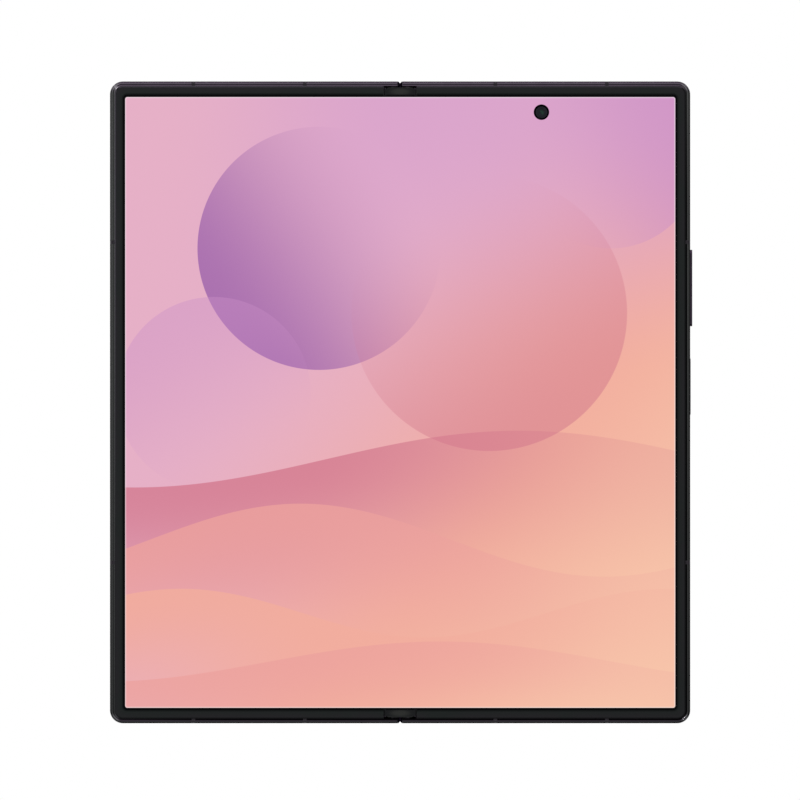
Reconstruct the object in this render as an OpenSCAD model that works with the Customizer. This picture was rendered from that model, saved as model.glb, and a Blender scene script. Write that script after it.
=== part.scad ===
// Book-style folding phone, lying open on its back with the inner display up.
// X runs from the left half to the right half, Y from the bottom edge to the top edge, Z up.
// The origin is on the hinge centre, at the level of the rear camera rings.
// Profiles give their heights from the back faces; module on_back() lifts them into place.

/* [Body] */
// Width of the phone when it is open
open_w = 143.2; // [120:0.1:170]
// Length of the phone, from bottom edge to top edge
body_l = 158.4; // [140:0.1:180]
// Thickness of one half, from back face to rim
body_t = 4.2; // [4.2:0.1:5.5]
// Radius of the four outer corners
corner_r = 3.2; // [2.6:0.1:6]
// Width of the metal rim seen from the front
rim_w = 1.15; // [1:0.05:1.6]
// Rounding of the rim's long edges
edge_r = 0.6; // [0.3:0.05:0.6]
// Depth of the groove around the rim's front face
groove_d = 0.12; // [0.05:0.01:0.15]
// Half width of the groove around the rim's front face
groove_w = 0.24; // [0.1:0.01:0.25]
// Height of the floor between the inner parts and the display plates
deck_h = 2.75; // [2.7:0.05:2.8]
// Width of the ledge that carries the glasses inside the rim
ledge_w = 1.2; // [0.8:0.1:1.6]
// Width of one plastic antenna break in the rim
break_w = 0.9; // [0.6:0.1:1.4]
// Distance of the inner top and bottom antenna breaks from the centre
break_in_x = 23.5; // [20:0.5:27]
// Distance of the outer top and bottom antenna breaks from the centre
break_out_x = 51; // [49:0.5:60]
// Distance of the side antenna breaks from the centre
break_y = 39.5; // [39.5:0.5:50]

/* [Glass and display] */
// Thickness of the cover glass and of the rear glass
glass_t = 0.45; // [0.4:0.05:0.45]
// Distance from the centre line to the hinge-side edge of the glasses
glass_x = 2.4; // [2.3:0.1:3.2]
// Thickness of the folding display
display_t = 0.5; // [0.4:0.05:0.6]
// Depth of the display's face below the rim
display_drop = 0.3; // [0.25:0.05:0.4]
// Thickness of the plate bonded under the display
plate_t = 0.15; // [0.1:0.05:0.2]
// Distance from the outer edge to the visible picture
picture_inset = 3.5; // [3.3:0.1:4.5]
// Corner radius of the visible picture
picture_r = 0.75; // [0.5:0.05:1.5]
// Distance from the centre line to the inner ends of the plastic bezels
bezel_x = 4.1; // [4.1:0.05:4.6]
// Thickness of the plastic bezels
bezel_t = 0.24; // [0.2:0.01:0.25]
// Thickness of the cover display behind its glass
cover_display_t = 0.4; // [0.3:0.05:0.5]

/* [Hinge] */
// Gap left between the two rims when the phone is closed
closed_gap = 0.5; // [0.4:0.05:0.8]
// Distance of each turning axis below the rim
axis_drop = 1.125; // [1.1:0.005:1.15]
// Clearance between the spine and the halves that turn round it
spine_gap = 0.1; // [0.08:0.01:0.12]
// Wall of the spine cover
spine_wall = 0.35; // [0.3:0.01:0.35]
// Half of the seam between the two halves, seen from the back
seam_gap = 0.1; // [0.08:0.01:0.15]
// Distance of the hinge modules from the middle of the phone
module_y = 48; // [34:0.5:50]
// Distance between neighbouring gear shafts
gear_pitch = 1.5; // [1.5:0.01:1.5]
// Teeth on each timing gear
gear_teeth = 10; // [10:2:10]
// Pressure angle of the gear teeth
gear_angle = 25; // [25:1:25]
// Height of the gear shafts above the back face
shaft_h = 1.95; // [1.93:0.01:1.97]
// Radius of the gear shafts
shaft_r = 0.34; // [0.3:0.01:0.36]
// Width of the gears and arms along the hinge
gear_w = 1.6; // [1.2:0.1:1.8]
// Running clearance of gears and arms
run_gap = 0.03; // [0.02:0.01:0.05]
// Reach of each arm, from its shaft to its cross pin
arm_reach = 4.8; // [4.7:0.05:4.9]
// Radius of the cross pins
pin_r = 0.3; // [0.25:0.01:0.32]
// Inner radius of the curved rails about the turning axes
rail_in = 1.5; // [1.45:0.01:1.55]
// Outer radius of the curved rails
rail_out = 2.04; // [1.98:0.01:2.06]
// Arc that each rail covers
rail_arc = 115; // [100:1:118]
// Length of one rail along the hinge
rail_w = 3; // [2:0.1:4]
// Distance from the centre line to the pivots of the tilting wing plates
wing_x = 8.4; // [8.3:0.1:8.8]
// Thickness of the wing plates
wing_t = 0.3; // [0.2:0.05:0.3]
// Length of one detent spring
spring_l = 4.6; // [3:0.1:6]

/* [Keys] */
// Length of the volume key
volume_l = 18.9; // [14:0.1:24]
// Distance of the volume key above the middle of the phone
volume_y = 28.25; // [24:0.05:30]
// How far the volume key stands proud of the rim
volume_proud = 0.55; // [0.3:0.05:0.8]
// Length of the power key
power_l = 13.9; // [10:0.1:16]
// Distance of the power key above the middle of the phone
power_y = 3.9; // [0:0.05:6]
// How far the power key stands proud of the rim
power_proud = 0.15; // [0.1:0.05:0.6]
// Height of both keys across the rim
key_h = 1.7; // [1.3:0.1:2]
// Clearance round each key in its slot
key_gap = 0.08; // [0.05:0.01:0.12]
// Travel of the keys
key_travel = 0.22; // [0.15:0.01:0.3]

/* [Cameras] */
// Height of the rear camera island above the rear glass
island_h = 1.1; // [0.6:0.1:2]
// Height of the camera rings above the island
ring_h = 1.2; // [0.8:0.1:2]
// Outer radius of a camera ring
ring_r = 6.2; // [5.5:0.1:6.8]
// Distance between neighbouring rear cameras
camera_pitch = 15.5; // [14.5:0.1:17]
// Distance of the middle rear camera from the top edge
camera_top = 30; // [28:0.1:34]
// Distance of the rear cameras from the outer side
camera_side = 13.2; // [12.5:0.1:16]
// Rim of the island around the camera rings
island_rim = 2.2; // [1.5:0.1:2.6]
// Radius of the camera barrels
barrel_r = 4.6; // [4:0.1:4.8]
// Radius of the flash lens
flash_r = 2.1; // [1.5:0.1:2.5]
// Radius of the opening for the inner camera
punch_r = 1.86; // [1.4:0.01:2.4]
// Distance of the inner camera from the centre line
punch_x = 34.9; // [30:0.1:40]
// Distance of the inner and cover cameras from the top edge
punch_top = 7.65; // [7:0.05:10]

/* [Ports] */
// Width of the charging socket's opening
socket_w = 8.34; // [8.34:0.01:8.34]
// Height of the charging socket's opening
socket_h = 2.56; // [2.56:0.01:2.56]
// Depth of the charging socket
socket_d = 7.35; // [6:0.05:8]
// Wall of the charging socket's shell
socket_wall = 0.1; // [0.08:0.01:0.1]
// Distance of the charging socket from the centre line
socket_x = 36.5; // [34:0.5:40]
// Width of the card tray
tray_w = 12.4; // [12.4:0.1:13]
// Length of the card tray
tray_l = 15.6; // [14:0.1:17]
// Distance of the card tray from the centre line
tray_x = 36; // [31:0.5:40]
// Radius of the tray's eject hole
eject_r = 0.45; // [0.4:0.01:0.5]
// Number of speaker slots at each end
speaker_slots = 6; // [3:1:8]
// Distance between neighbouring speaker slots
slot_pitch = 2; // [1.8:0.1:2.2]

/* [Hidden] */
$fn = 48;
half_w = open_w / 2;
half_l = body_l / 2;
back_z = island_h + ring_h;
// Turning axis of a half: across the phone, and above the back face
axis_x = closed_gap / 2 + axis_drop;
axis_z = body_t - axis_drop;
// Spine section, round the turning axes
lip_t = glass_t;
cavity_r = axis_z - lip_t;
spine_r = cavity_r - spine_gap;
bore_r = spine_r - spine_wall;
floor_z = axis_z - bore_r;
block_r = bore_r - 0.03;
cavity_x = axis_x + cavity_r;
cavity_l = half_l - rim_w;
spine_l = cavity_l - 0.35;
cap_l = 1.8;
wall_top = axis_z - 0.325;
cap_top = axis_z + 0.675;
// Display stack
display_z = body_t - display_drop;
panel_z = display_z - display_t;
plate_z = panel_z - plate_t;
panel_inset = rim_w + 0.5;
fold_l = spine_l - cap_l - 0.2;
// Inner pockets of the halves
pocket_x = wing_x + 0.9;
pocket_end = half_w - rim_w - ledge_w;
pocket_l = half_l - rim_w - ledge_w;
wing_l = spine_l - cap_l - 0.3;
wing_z = plate_z - 0.1 - wing_t;
wing_dip = 1.1;
// Hinge module, along Y from its own middle
plate_y = gear_w / 2 + 0.12;
cheek_t = 0.55;
rail_y = plate_y + cheek_t + 0.4;
end_y = rail_y + rail_w + 0.15;
spring_y = end_y + cheek_t;
block_l = spring_y + spring_l + 0.9;
block_top = 2.8;
arm_x = gear_pitch * 1.5;
pin_dz = 0.35;
arm_low = shaft_h - 0.05;
arm_high = shaft_h + 0.75;
bracket_x = cavity_x + 0.3;
bracket_low = 0.9;
bracket_end = 11;
pin_x = arm_x + arm_reach;
slot_r = norm([arm_x - axis_x, axis_z - shaft_h]);
slot_a = atan2(shaft_h - axis_z, arm_x - axis_x);
cheek_end = wing_x - 0.45;
// Rear cameras
camera_x = half_w - camera_side;
camera_y = half_l - camera_top;
flash_x = camera_x - ring_r - island_rim - 4.2;
flash_y = camera_y + camera_pitch;
punch_y = half_l - punch_top;
socket_z = glass_t + 0.04 + socket_wall + socket_h / 2;
tray_z = 1.9;
tray_t = 1;
bar_w = tray_w + 3.8;
bar_h = 1.9;
reader_y = rim_w - half_l + tray_l + 0.4;
key_z = body_t / 2 - 0.1;
switch_x = half_w - rim_w - 1.55;
speaker_x = half_w - 12.6;
duct_w = speaker_slots * slot_pitch;
// Boards reach from the batteries to the front cameras
board_top = punch_y - 4.05;
board_low = board_top - 45;
sub_low = board_top - 30.5;
board_z = deck_h - 1.5;
can_z = deck_h - 0.91;
battery_low = 26 - half_l;
motor_p = [pocket_x + 7.7, 13.2 - half_l];
coil_p = [pocket_x + 27.7, (battery_low + board_low) / 2];

// ---- placing helpers ----

module on_back() { translate([0, 0, back_z]) children(); }
module left_side() { mirror([1, 0, 0]) children(); }
// A profile drawn with X and height, run along the hinge
module along_y(y0, y1) { translate([0, y1, 0]) rotate([90, 0, 0]) linear_extrude(y1 - y0) children(); }
// A plan shape between two heights
module slab(z0, z1) { translate([0, 0, z0]) linear_extrude(z1 - z0) children(); }
// Both hinge modules, the lower one mirrored
module each_module() {
  for (s = [0, 1]) mirror([0, s, 0]) translate([0, module_y, 0]) children();
}
module box(x0, x1, y0, y1, z0, z1) { translate([x0, y0, z0]) cube([x1 - x0, y1 - y0, z1 - z0]); }
// A rod along Y
module rod(x, z, r, y0, y1) { translate([x, y1, z]) rotate([90, 0, 0]) cylinder(r = r, h = y1 - y0); }
// A bar with round ends, lying along X in the X-height plane
module stadium(w, h) {
  square([w - h, h], center = true);
  for (s = [-1, 1]) translate([s * (w - h) / 2, 0]) circle(d = h);
}

// ---- plans and sections ----

// Plan of the right half from x0 out to an inset from the outer edges
module half_plan(x0, inset, r) {
  xe = half_w - inset;
  ye = half_l - inset;
  translate([x0, -ye]) square([xe - r - x0, 2 * ye]);
  translate([x0, r - ye]) square([xe - x0, 2 * (ye - r)]);
  for (s = [-1, 1]) translate([xe - r, s * (ye - r)]) circle(r);
}
function inner_r(inset) = max(corner_r - inset, 0.5);
// Rim section: distance inward from the outer edge, and height
function edge_arc(x, y, a) = [for (t = [0:18:90]) [x + edge_r * cos(a + t), y + edge_r * sin(a + t)]];
module rim_profile() {
  g = edge_r + 0.02 + groove_w;
  polygon(concat(
    edge_arc(edge_r, edge_r, 180),
    [[rim_w, 0], [rim_w, body_t], [g + groove_w, body_t], [g, body_t - groove_d], [g - groove_w, body_t]],
    edge_arc(edge_r, body_t - edge_r, 90)));
}
module rim() {
  ys = half_l - corner_r;
  xs = half_w - corner_r;
  along_y(-ys, ys) translate([half_w, 0]) mirror([1, 0]) rim_profile();
  translate([seam_gap, 0, 0]) rotate([90, 0, 90]) linear_extrude(xs - seam_gap) {
    translate([half_l, 0]) mirror([1, 0]) rim_profile();
    translate([-half_l, 0]) rim_profile();
  }
  for (s = [0, 1]) mirror([0, s, 0]) translate([xs, ys, 0])
    rotate_extrude(angle = 90) translate([corner_r, 0]) mirror([1, 0]) rim_profile();
}
// Space in which the spine lies, seen along the hinge
module cavity_section() {
  translate([axis_x, axis_z]) circle(cavity_r);
  translate([axis_x - 4, lip_t]) square([4, body_t]);
  translate([axis_x - 4, axis_z]) square([4 + cavity_r, body_t]);
}
// Filling of the spine trough with a given radius about the turning axes
module trough_fill(r, top) {
  intersection() {
    union() {
      for (s = [-1, 1]) translate([s * axis_x, axis_z]) circle(r);
      translate([-axis_x, axis_z - r]) square([2 * axis_x, r + 1]);
    }
    translate([-6, axis_z - r - 1]) square([12, top - axis_z + r + 1]);
  }
}
// Wedge from the turning axis between two directions, as seen along the hinge
module wedge(a0, a1, r) {
  n = 4;
  polygon(concat([[0, 0]], [for (i = [0:n]) r * 1.6 * [cos(a0 + (a1 - a0) * i / n), sin(a0 + (a1 - a0) * i / n)]]));
}
module ring_sector(r0, r1, a0, a1) {
  intersection() {
    difference() {
      circle(r1);
      circle(r0);
    }
    wedge(a0, a1, r1);
  }
}
// Boxes where the antenna breaks cross the rim of one half
module break_boxes() {
  for (x = [break_in_x, break_out_x], s = [-1, 1])
    translate([x - break_w / 2, s * (half_l - rim_w / 2) - rim_w / 2 - 0.01, -1])
      cube([break_w, rim_w + 0.02, body_t + 2]);
  for (s = [-1, 1])
    translate([half_w - rim_w - 0.01, s * break_y - break_w / 2, -1]) cube([rim_w + 0.02, break_w, body_t + 2]);
}
module antenna_breaks() {
  intersection() {
    rim();
    break_boxes();
  }
}

// ---- one half of the housing, drawn as the right half ----

module half_frame() {
  difference() {
    union() {
      difference() {
        rim();
        break_boxes();
      }
      slab(glass_t, plate_z) half_plan(seam_gap, rim_w, inner_r(rim_w));
      box(seam_gap, glass_x - 0.03, -cavity_l, cavity_l, 0, glass_t + 0.01);
    }
    along_y(-cavity_l, cavity_l) cavity_section();
    // Rim ends rounded about the turning axis, so that they pass each other
    for (s = [-1, 1]) translate([0, s * (half_l - rim_w / 2), 0]) along_y(-rim_w / 2 - 0.01, rim_w / 2 + 0.01)
      difference() {
        translate([seam_gap - 1, axis_z]) square([axis_x - seam_gap + 1, body_t]);
        translate([axis_x, axis_z]) circle(axis_x - seam_gap);
      }
    // Small notch where the two rims meet
    for (s = [0, 1]) mirror([0, s, 0]) slab(-1, body_t + 1)
      polygon([[seam_gap - 0.01, half_l - 0.6], [0.65, half_l + 0.01], [seam_gap - 0.01, half_l + 0.01]]);
    // Main pocket, open to the back
    box(pocket_x, pocket_end, -pocket_l, pocket_l, glass_t - 1, deck_h);
    // Recess for the tilting wing plate
    box(cavity_x - 1, wing_x + 0.3, -wing_l - 0.15, wing_l + 0.15, wing_z - wing_dip * 0.6, plate_z + 1);
    for (s = [-1, 1]) rod(wing_x, wing_z + wing_t / 2, 0.23, s * (wing_l + 0.5) - 0.6, s * (wing_l + 0.5) + 0.6);
    // Seats of the rotator brackets
    each_module() box(cavity_x - 1, bracket_end + 0.05, -end_y - 0.05, end_y + 0.05, bracket_low, plate_z + 1);
  }
}
module bezel() {
  slab(display_z, display_z + bezel_t) difference() {
    half_plan(bezel_x, rim_w + 0.02, inner_r(rim_w + 0.02));
    half_plan(bezel_x - 1, picture_inset, picture_r);
  }
}
module display_panel() { slab(panel_z, display_z) half_plan(bezel_x, panel_inset, inner_r(panel_inset)); }
module display_plate() { slab(plate_z, panel_z) half_plan(pocket_x, panel_inset, inner_r(panel_inset)); }
module back_glass() {
  slab(0, glass_t) half_plan(glass_x, rim_w + 0.03, inner_r(rim_w + 0.03));
}
module battery(y1, z0) { box(pocket_x + 2.4, pocket_end - 2.6, battery_low, y1, z0, deck_h); }
module magnets() {
  for (y = [battery_low + 1.2, -0.3 * half_l, half_l - 11.5])
    box(pocket_end - 2.2, pocket_end, y, y + 9, 0.95, deck_h);
}

// ---- hinge, drawn as the right half's share ----

// Involute gear: base half angle, flank point and outline
function inv(a) = tan(a) * 180 / PI - a;
gear_rp = gear_pitch / 2;
gear_rb = gear_rp * cos(gear_angle);
gear_ra = gear_rp * (1 + 1.6 / gear_teeth);
gear_rr = gear_rp * (1 - 2.2 / gear_teeth);
function half_tooth(r) = 90 / gear_teeth - 1.6 + inv(gear_angle) - inv(acos(min(1, gear_rb / r)));
function flank() = concat([[gear_rr, half_tooth(gear_rb)]],
  [for (i = [0:2]) let (r = gear_rb + (gear_ra - gear_rb) * i / 2) [r, half_tooth(r)]]);
function polar(r, a) = [r * cos(a), r * sin(a)];
function tooth(c) = concat(
  [for (p = flank()) polar(p[0], c - p[1])],
  [for (i = [3:-1:0]) polar(flank()[i][0], c + flank()[i][1])]);
function gear_points(phase) = [for (k = [0:gear_teeth - 1]) each tooth(k * 360 / gear_teeth + phase)];
module gear(x, phase) {
  along_y(-gear_w / 2, gear_w / 2) translate([x, shaft_h]) difference() {
    polygon(gear_points(phase));
    circle(shaft_r + run_gap);
  }
}
// Curved slot for a cross pin: the path that the shaft takes round the turning axis
module pin_slot() {
  r = pin_r + run_gap;
  translate([axis_x + arm_reach, axis_z + pin_dz]) {
    ring_sector(slot_r - r, slot_r + r, slot_a - 90, slot_a);
    for (a = [slot_a - 90, slot_a]) translate(polar(slot_r, a)) circle(r);
  }
}
// Arm with its gear, and a cross pin through its outer end
module arms(phase) {
  low = arm_low - shaft_h;
  high = arm_high - shaft_h;
  each_module() {
    difference() {
      union() {
        gear(arm_x, phase);
        along_y(-gear_w / 2, gear_w / 2) translate([arm_x, shaft_h])
          polygon([[0.2, low], [arm_reach, low], [arm_reach, high], [0.9, high], [0.2, high / 2]]);
        rod(pin_x, shaft_h + pin_dz, (arm_high - arm_low) / 2, -gear_w / 2, gear_w / 2);
      }
      rod(arm_x, shaft_h, shaft_r + run_gap, -gear_w, gear_w);
    }
    rod(pin_x, shaft_h + pin_dz, pin_r, -plate_y - cheek_t, plate_y + cheek_t);
  }
}
// Curved rails on brackets; flip sets on which side of the arm the rail lies
module rotators(flip) {
  each_module() mirror([0, flip, 0]) difference() {
    union() {
      // Curved rail and its web
      along_y(rail_y, rail_y + rail_w) {
        translate([axis_x, axis_z]) ring_sector(rail_in, rail_out, -rail_arc, 0);
        translate([axis_x + rail_in + 0.15, 2.4]) square([bracket_x - axis_x - rail_in, axis_z - 2.4]);
      }
      along_y(-plate_y - cheek_t, rail_y + rail_w) {
        translate([bracket_x, bracket_low]) square([cheek_end - bracket_x, axis_z - bracket_low]);
        translate([bracket_x, bracket_low]) square([bracket_end - bracket_x, wing_z - 0.3 - bracket_low]);
      }
    }
    // Gap for the arm, and the curved slots in the two cheeks
    box(bracket_x - 1, cheek_end + 0.1, -plate_y, plate_y, 1.5, axis_z + 1);
    along_y(-plate_y - cheek_t - 1, plate_y + cheek_t) pin_slot();
    for (y = [-0.4, rail_y + 1.5]) translate([9.85, y, 0]) cylinder(r = 0.42, h = 4);
  }
}
module rotator_screws(flip) {
  each_module() mirror([0, flip, 0]) for (y = [-0.4, rail_y + 1.5]) translate([9.85, y, bracket_low]) {
    cylinder(r = 0.4, h = wing_z - 0.3 - bracket_low);
    translate([0, 0, wing_z - 0.3 - bracket_low]) difference() {
      cylinder(r = 0.75, h = 0.25);
      translate([0, 0, 0.12]) cylinder(r = 0.32, h = 0.3, $fn = 6);
    }
  }
}
// Wing plate with windows over the hinge modules
module wing(flip) {
  difference() {
    union() {
      box(seam_gap, wing_x, -wing_l, wing_l, wing_z, wing_z + wing_t);
      rod(wing_x, wing_z + wing_t / 2, 0.2, -wing_l - 0.7, wing_l + 0.7);
    }
    each_module() mirror([0, flip, 0])
      box(-1, cheek_end + 0.1, -end_y - 0.6, block_l + 0.2, -1, body_t);
  }
}

// ---- spine ----

module spine_shell() {
  difference() {
    along_y(-spine_l, spine_l) difference() {
      trough_fill(spine_r, wall_top);
      trough_fill(bore_r, wall_top + 1);
    }
    each_module() {
      y = gear_w / 2 + 0.12;
      // Notches for the arms, the rails' webs and the arm gears
      box(-6, 6, -y, y, arm_low - 0.05, body_t);
      box(0, 6, -rail_y - rail_w - 0.1, -rail_y + 0.1, 2.35, body_t);
      box(-6, 0, rail_y - 0.1, rail_y + rail_w + 0.1, 2.35, body_t);
      for (s = [-1, 1]) rod(s * arm_x, shaft_h, gear_ra + 0.04, -y, y);
    }
  }
}
// Shaft places: distance from the centre line, and the two ends along the hinge
shaft_rows = [
  [-gear_pitch / 2, -1, 1], [gear_pitch / 2, -1, 1],
  [-arm_x, -block_l, rail_y - 0.1], [arm_x, 0.1 - rail_y, block_l]
];
function row_y(v) = abs(v) == 1 ? v * (rail_y - 0.1) : v;
module brackets() {
  each_module() difference() {
    union() {
      for (s = [-1, 1]) {
        a = s < 0 ? 0.1 - rail_y : plate_y;
        along_y(a, a + rail_y - 0.1 - plate_y) trough_fill(block_r, block_top);
        b = s < 0 ? -spring_y : rail_y + rail_w + 0.1;
        along_y(b, b + spring_y - rail_y - rail_w - 0.1) trough_fill(block_r, block_top);
        // Saddle inside the curved rail, and the solid part beside it
        c = s < 0 ? -rail_y - rail_w - 0.11 : rail_y - 0.11;
        along_y(c, c + rail_w + 0.22) intersection() {
          trough_fill(block_r, block_top);
          union() {
            translate([-s * axis_x, axis_z]) circle(rail_in - 0.06);
            translate([s > 0 ? -0.2 : -6.2, 0]) square([6.4, body_t]);
          }
        }
        // Seat at the far end of the spring
        d = s < 0 ? -block_l : block_l - cheek_t;
        along_y(d, d + cheek_t) intersection() {
          trough_fill(block_r, block_top);
          translate([s > 0 ? 0 : -6, 0]) square([6, body_t]);
        }
      }
      box(-axis_x, axis_x, -block_l, block_l, floor_z, floor_z + 0.1);
      for (s = [0, 1]) mirror([0, s, 0]) box(-axis_x, axis_x, end_y, block_l, floor_z, floor_z + 0.3);
    }
    for (r = shaft_rows) rod(r[0], shaft_h, shaft_r + 0.005, row_y(r[1]) - 0.01, row_y(r[2]) + 0.01);
    for (s = [-1, 1]) translate([s * 0.95, s * (rail_y + rail_w / 2), 0]) {
      cylinder(r = 0.36, h = body_t);
      translate([0, 0, block_top - 0.35]) cylinder(r = 0.66, h = 1);
    }
  }
}
// Closed tube wound from y0 to y1 round a rod along Y
module coil(x, z, r, wire, y0, y1, turns) {
  sides = 6;
  steps = turns * 10;
  pts = [for (i = [0:steps], k = [0:sides - 1])
    let (a = 36 * i, b = 360 * k / sides, q = r + wire * cos(b))
    [x + q * cos(a), y0 + wire + (y1 - y0 - 2 * wire) * i / steps + wire * sin(b), z + q * sin(a)]];
  ring = [for (i = [0:steps - 1], k = [0:sides - 1]) let (n = (k + 1) % sides, a = i * sides, b = a + sides)
    each [[a + k, b + n, b + k], [a + k, a + n, b + n]]];
  ends = [for (k = [1:sides - 2]) each [[0, k + 1, k], [steps * sides, steps * sides + k, steps * sides + k + 1]]];
  polyhedron(points = pts, faces = concat(ring, ends), convexity = 10);
}

module spine_cover() { color("#4a444c") on_back() spine_shell(); }
// Section of a cap's top, whose sides curve about the turning axes
module cap_section() {
  intersection() {
    union() {
      for (s = [-1, 1]) translate([s * axis_x, axis_z]) circle(cavity_r - 0.04);
      translate([-axis_x, wall_top]) square([2 * axis_x, cap_top]);
    }
    translate([-cavity_x, wall_top]) square([2 * cavity_x, cap_top - wall_top]);
  }
}
module hinge_end_caps() {
  color("#2b2a2e") on_back() for (s = [0, 1]) mirror([0, s, 0]) {
    along_y(spine_l - cap_l, spine_l) trough_fill(block_r, wall_top + 0.01);
    difference() {
      along_y(spine_l - cap_l, spine_l) cap_section();
      // Slanted outer corners
      slab(wall_top - 1, cap_top + 1) for (t = [0, 1]) mirror([t, 0, 0])
        polygon([[cavity_x - 1.1, spine_l + 0.01], [cavity_x, spine_l - 0.65], [cavity_x, spine_l + 0.01]]);
    }
    // Tongue between the rim ends
    box(0.02 - seam_gap, seam_gap - 0.02, spine_l - 0.01, half_l - 0.6, floor_z, wall_top - 0.2);
  }
}
module hinge_brackets() { color("#8d8f94") on_back() brackets(); }
module gear_shafts() {
  color("#c4c6ca") on_back() each_module()
    for (r = shaft_rows) rod(r[0], shaft_h, shaft_r, row_y(r[1]), row_y(r[2]));
}
module detent_cams() {
  color("#b8b2a2") on_back() each_module() for (s = [0, 1]) rotate([0, 0, 180 * s]) translate([arm_x, 0, shaft_h])
    for (y = [spring_y + 0.02, spring_y + 0.36]) translate([0, y + 0.32, 0]) rotate([90, 0, 0])
      difference() {
        cylinder(r = 0.62, h = 0.32);
        translate([0, 0, -1]) cylinder(r = shaft_r + 0.01, h = 3);
      }
}
module hinge_springs() {
  color("#d2d4d8") on_back() each_module() for (s = [0, 1]) rotate([0, 0, 180 * s])
    coil(arm_x, shaft_h, 0.5, 0.12, spring_y + 0.72, block_l - cheek_t - 0.02, 8);
}
module spine_screws() {
  color("#a9abb0") on_back() each_module() for (s = [-1, 1]) translate([s * 0.95, s * (rail_y + rail_w / 2), 0])
    difference() {
      union() {
        translate([0, 0, floor_z + 0.02]) cylinder(r = 0.33, h = block_top - 0.35 - floor_z);
        translate([0, 0, block_top - 0.34]) cylinder(r = 0.62, h = 0.3);
      }
      translate([0, 0, block_top - 0.2]) cylinder(r = 0.28, h = 1, $fn = 6);
    }
}
module inner_display_fold() {
  color("#d9a0c4") on_back() box(-bezel_x, bezel_x, -fold_l, fold_l, panel_z, display_z);
}
module display_lattice() {
  color("#9a9ca0") on_back() difference() {
    box(-pocket_x, pocket_x, -fold_l, fold_l, plate_z, panel_z);
    for (x = [-4:4], y = [-9:9]) translate([x * 0.85, (y + (x % 2 == 0 ? 0 : 0.5)) * 7.6, 0])
      box(-0.15, 0.15, -3.2, 3.2, plate_z - 1, panel_z + 1);
  }
}

// ---- left half ----

module left_frame() {
  color("#4a444c") on_back() left_side() difference() {
    half_frame();
    // Slot of the card tray in the bottom edge
    translate([tray_x, 0.1 - pocket_l, tray_z]) rotate([90, 0, 0]) linear_extrude(rim_w + ledge_w + 1.1)
      stadium(bar_w + 0.12, bar_h + 0.12);
  }
}
module left_antenna_breaks() { color("#3a383c") on_back() left_side() antenna_breaks(); }
module left_bezel() { color("#1f2123") on_back() left_side() bezel(); }
module left_display_panel() { color("#dfa5c2") on_back() left_side() display_panel(); }
module left_display_plate() { color("#8f9196") on_back() left_side() display_plate(); }
module cover_glass() { color("#101114") on_back() left_side() back_glass(); }
module cover_display_panel() {
  color("#26262b") on_back() left_side() difference() {
    box(pocket_x + 0.05, pocket_end - 0.3, 0.3 - pocket_l, pocket_l - 0.3, glass_t, glass_t + cover_display_t);
    translate([punch_x, punch_y, 0]) cylinder(r = punch_r + 0.35, h = body_t);
  }
}
module cover_camera() {
  color("#17181b") on_back() left_side() translate([punch_x, punch_y, 0]) {
    translate([0, 0, glass_t]) cylinder(r = punch_r, h = 0.8);
    translate([-2.6, -2.6, glass_t + 0.8]) cube([5.2, 5.2, deck_h - glass_t - 0.8]);
  }
}
module left_battery() {
  color("#3c3f45") on_back() left_side() battery(sub_low - 3, glass_t + cover_display_t + 0.15);
}
module sub_board() {
  color("#1f4a3c") on_back() left_side() {
    box(bracket_end + 0.4, pocket_end - 1.5, sub_low, board_top, board_z, can_z + 0.01);
    box(bracket_end + 3, pocket_x + 26, sub_low + 3, board_top - 3.5, can_z, deck_h);
    box(pocket_x + 30, pocket_end - 8, sub_low + 5, board_top - 5.5, can_z, deck_h);
  }
}
module sim_reader() {
  color("#a6a8ac") on_back() left_side() difference() {
    box(tray_x - tray_w / 2 - 0.4, tray_x + tray_w / 2 + 0.4, 0.02 - pocket_l, reader_y, tray_z - 0.8, deck_h);
    box(tray_x - tray_w / 2 - 0.1, tray_x + tray_w / 2 + 0.1, -half_l, reader_y - 0.3, tray_z - 0.56, tray_z + 0.56);
  }
}
module earpiece() {
  color("#25262a") on_back() left_side()
    box(pocket_end - 23, pocket_end - 11, punch_y - 0.55, pocket_l - 0.02, 1, deck_h);
}
module left_rotators() { color("#9a9ca2") on_back() left_side() rotators(0); }
module left_rotator_screws() { color("#c4c6ca") on_back() left_side() rotator_screws(0); }
module left_magnets() { color("#7f8288") on_back() left_side() magnets(); }

// ---- right half ----

// Places of the rear cameras
module each_camera() {
  for (i = [-1:1]) translate([camera_x, camera_y + i * camera_pitch, 0]) children();
}
// Plan of the camera island, which is a bar with round ends
module island_plan(r) {
  l = 2 * camera_pitch;
  translate([camera_x - r, camera_y - l / 2]) square([2 * r, l]);
  for (s = [-1, 1]) translate([camera_x, camera_y + s * l / 2]) circle(r);
}
module slot_row(z0, z1) {
  for (i = [0:speaker_slots - 1])
    translate([speaker_x + (i - (speaker_slots - 1) / 2) * slot_pitch, 0, tray_z]) rotate([90, 0, 0])
      translate([0, 0, z0]) linear_extrude(z1 - z0) stadium(slot_pitch * 0.72, 0.9);
}
module key_slot(l, y) {
  translate([half_w - rim_w - 0.1, y, key_z]) rotate([90, 0, 90]) linear_extrude(rim_w + 1)
    stadium(l + 2 * key_gap, key_h + 2 * key_gap);
  box(switch_x, half_w - rim_w, y - l / 2 - 0.9, y + l / 2 + 0.9, key_z - key_h / 2 - 0.3, key_z + key_h / 2 + 0.3);
}
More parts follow.
